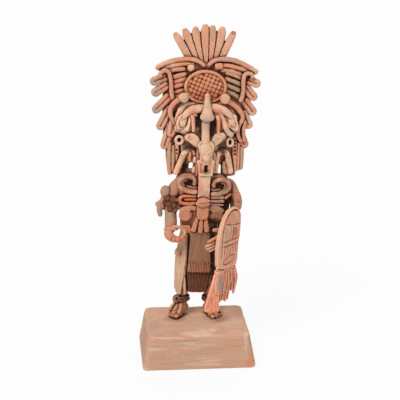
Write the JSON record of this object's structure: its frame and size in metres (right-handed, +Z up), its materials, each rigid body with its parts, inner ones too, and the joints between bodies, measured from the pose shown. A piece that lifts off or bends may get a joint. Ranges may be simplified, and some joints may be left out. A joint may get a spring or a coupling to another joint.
{
  "type": "clay deity statuette",
  "caption": "Hand-built terracotta statuette of a rain god with a feather headdress, ringed fist and fringed shield, standing on a sloped block base.",
  "frame": {"origin": "middle of the base's flat underside", "axes": "+Z up, -Y towards the front that the figure faces, +X towards the figure's left, the shield's side"},
  "size_m": [0.1289, 0.096, 0.3585],
  "materials": {
    "clay_base": "matt unglazed fired clay with rubbed washes",
    "clay_body": "matt unglazed fired clay with rubbed washes",
    "clay_pink": "matt unglazed fired clay with rubbed washes",
    "clay_crest": "matt unglazed fired clay with rubbed washes",
    "clay_feathers": "matt unglazed fired clay with rubbed washes",
    "clay_plaque": "matt unglazed fired clay with rubbed washes",
    "clay_mask": "matt unglazed fired clay with rubbed washes",
    "clay_strip": "matt unglazed fired clay with rubbed washes",
    "clay_belt": "matt unglazed fired clay with rubbed washes",
    "clay_apron": "matt unglazed fired clay with rubbed washes",
    "clay_skirt": "matt unglazed fired clay with rubbed washes",
    "clay_cloak": "matt unglazed fired clay with rubbed washes",
    "clay_shield": "matt unglazed fired clay with rubbed washes",
    "clay_salmon": "matt unglazed fired clay with rubbed washes",
    "clay_dark": "matt unglazed fired clay with rubbed washes"
  },
  "bodies": {
    "root": {"ankle_cuffs": "clay_dark", "apron": "clay_apron", "arm_left": "clay_body", "arm_right": "clay_body", "armband_right": "clay_dark", "base_floor": "clay_base", "base_shell": "clay_base", "beast_ears": "clay_mask", "beast_head": "clay_mask", "belt_knot": "clay_belt", "belt_loops": "clay_belt", "brow_knobs": "clay_mask", "brow_tails": "clay_feathers", "brows": "clay_mask", "cloak_back": "clay_cloak", "cloak_flap": "clay_cloak", "collar_scrolls": "clay_pink", "crest_feathers": "clay_crest", "dotted_straps": "clay_strip", "ear_spools": "clay_mask", "eyes": "clay_mask", "face_block": "clay_body", "fangs": "clay_mask", "feather_loops_left": "clay_feathers", "feather_loops_right": "clay_feathers", "foot_left": "clay_body", "foot_right": "clay_body", "frame_strips": "clay_feathers", "hand_left": "clay_body", "hand_right": "clay_pink", "headdress_slab": "clay_body", "hip_scrolls": "clay_belt", "inner_feathers": "clay_feathers", "knot_tab": "clay_belt", "knot_tassels": "clay_belt", "legs": "clay_body", "lips": "clay_mask", "mouth_frame": "clay_mask", "neck": "clay_body", "pendant_arches": "clay_mask", "plaque": "clay_plaque", "plaque_rim": "clay_plaque", "sandal_straps": "clay_dark", "shield_binding": "clay_shield", "shield_board": "clay_shield", "shield_fringe": "clay_shield", "shield_relief": "clay_shield", "shield_rim": "clay_shield", "shield_sweep": "clay_salmon", "shoulder_pad_right": "clay_body", "side_locks": "clay_pink", "throat_tube": "clay_mask", "toes": "clay_body", "tongue_strip": "clay_strip", "top_coils_left": "clay_feathers", "top_coils_right": "clay_feathers", "top_knobs": "clay_mask", "torso": "clay_body", "trunk_nose": "clay_mask", "underskirt": "clay_skirt"}
  },
  "joints": []
}
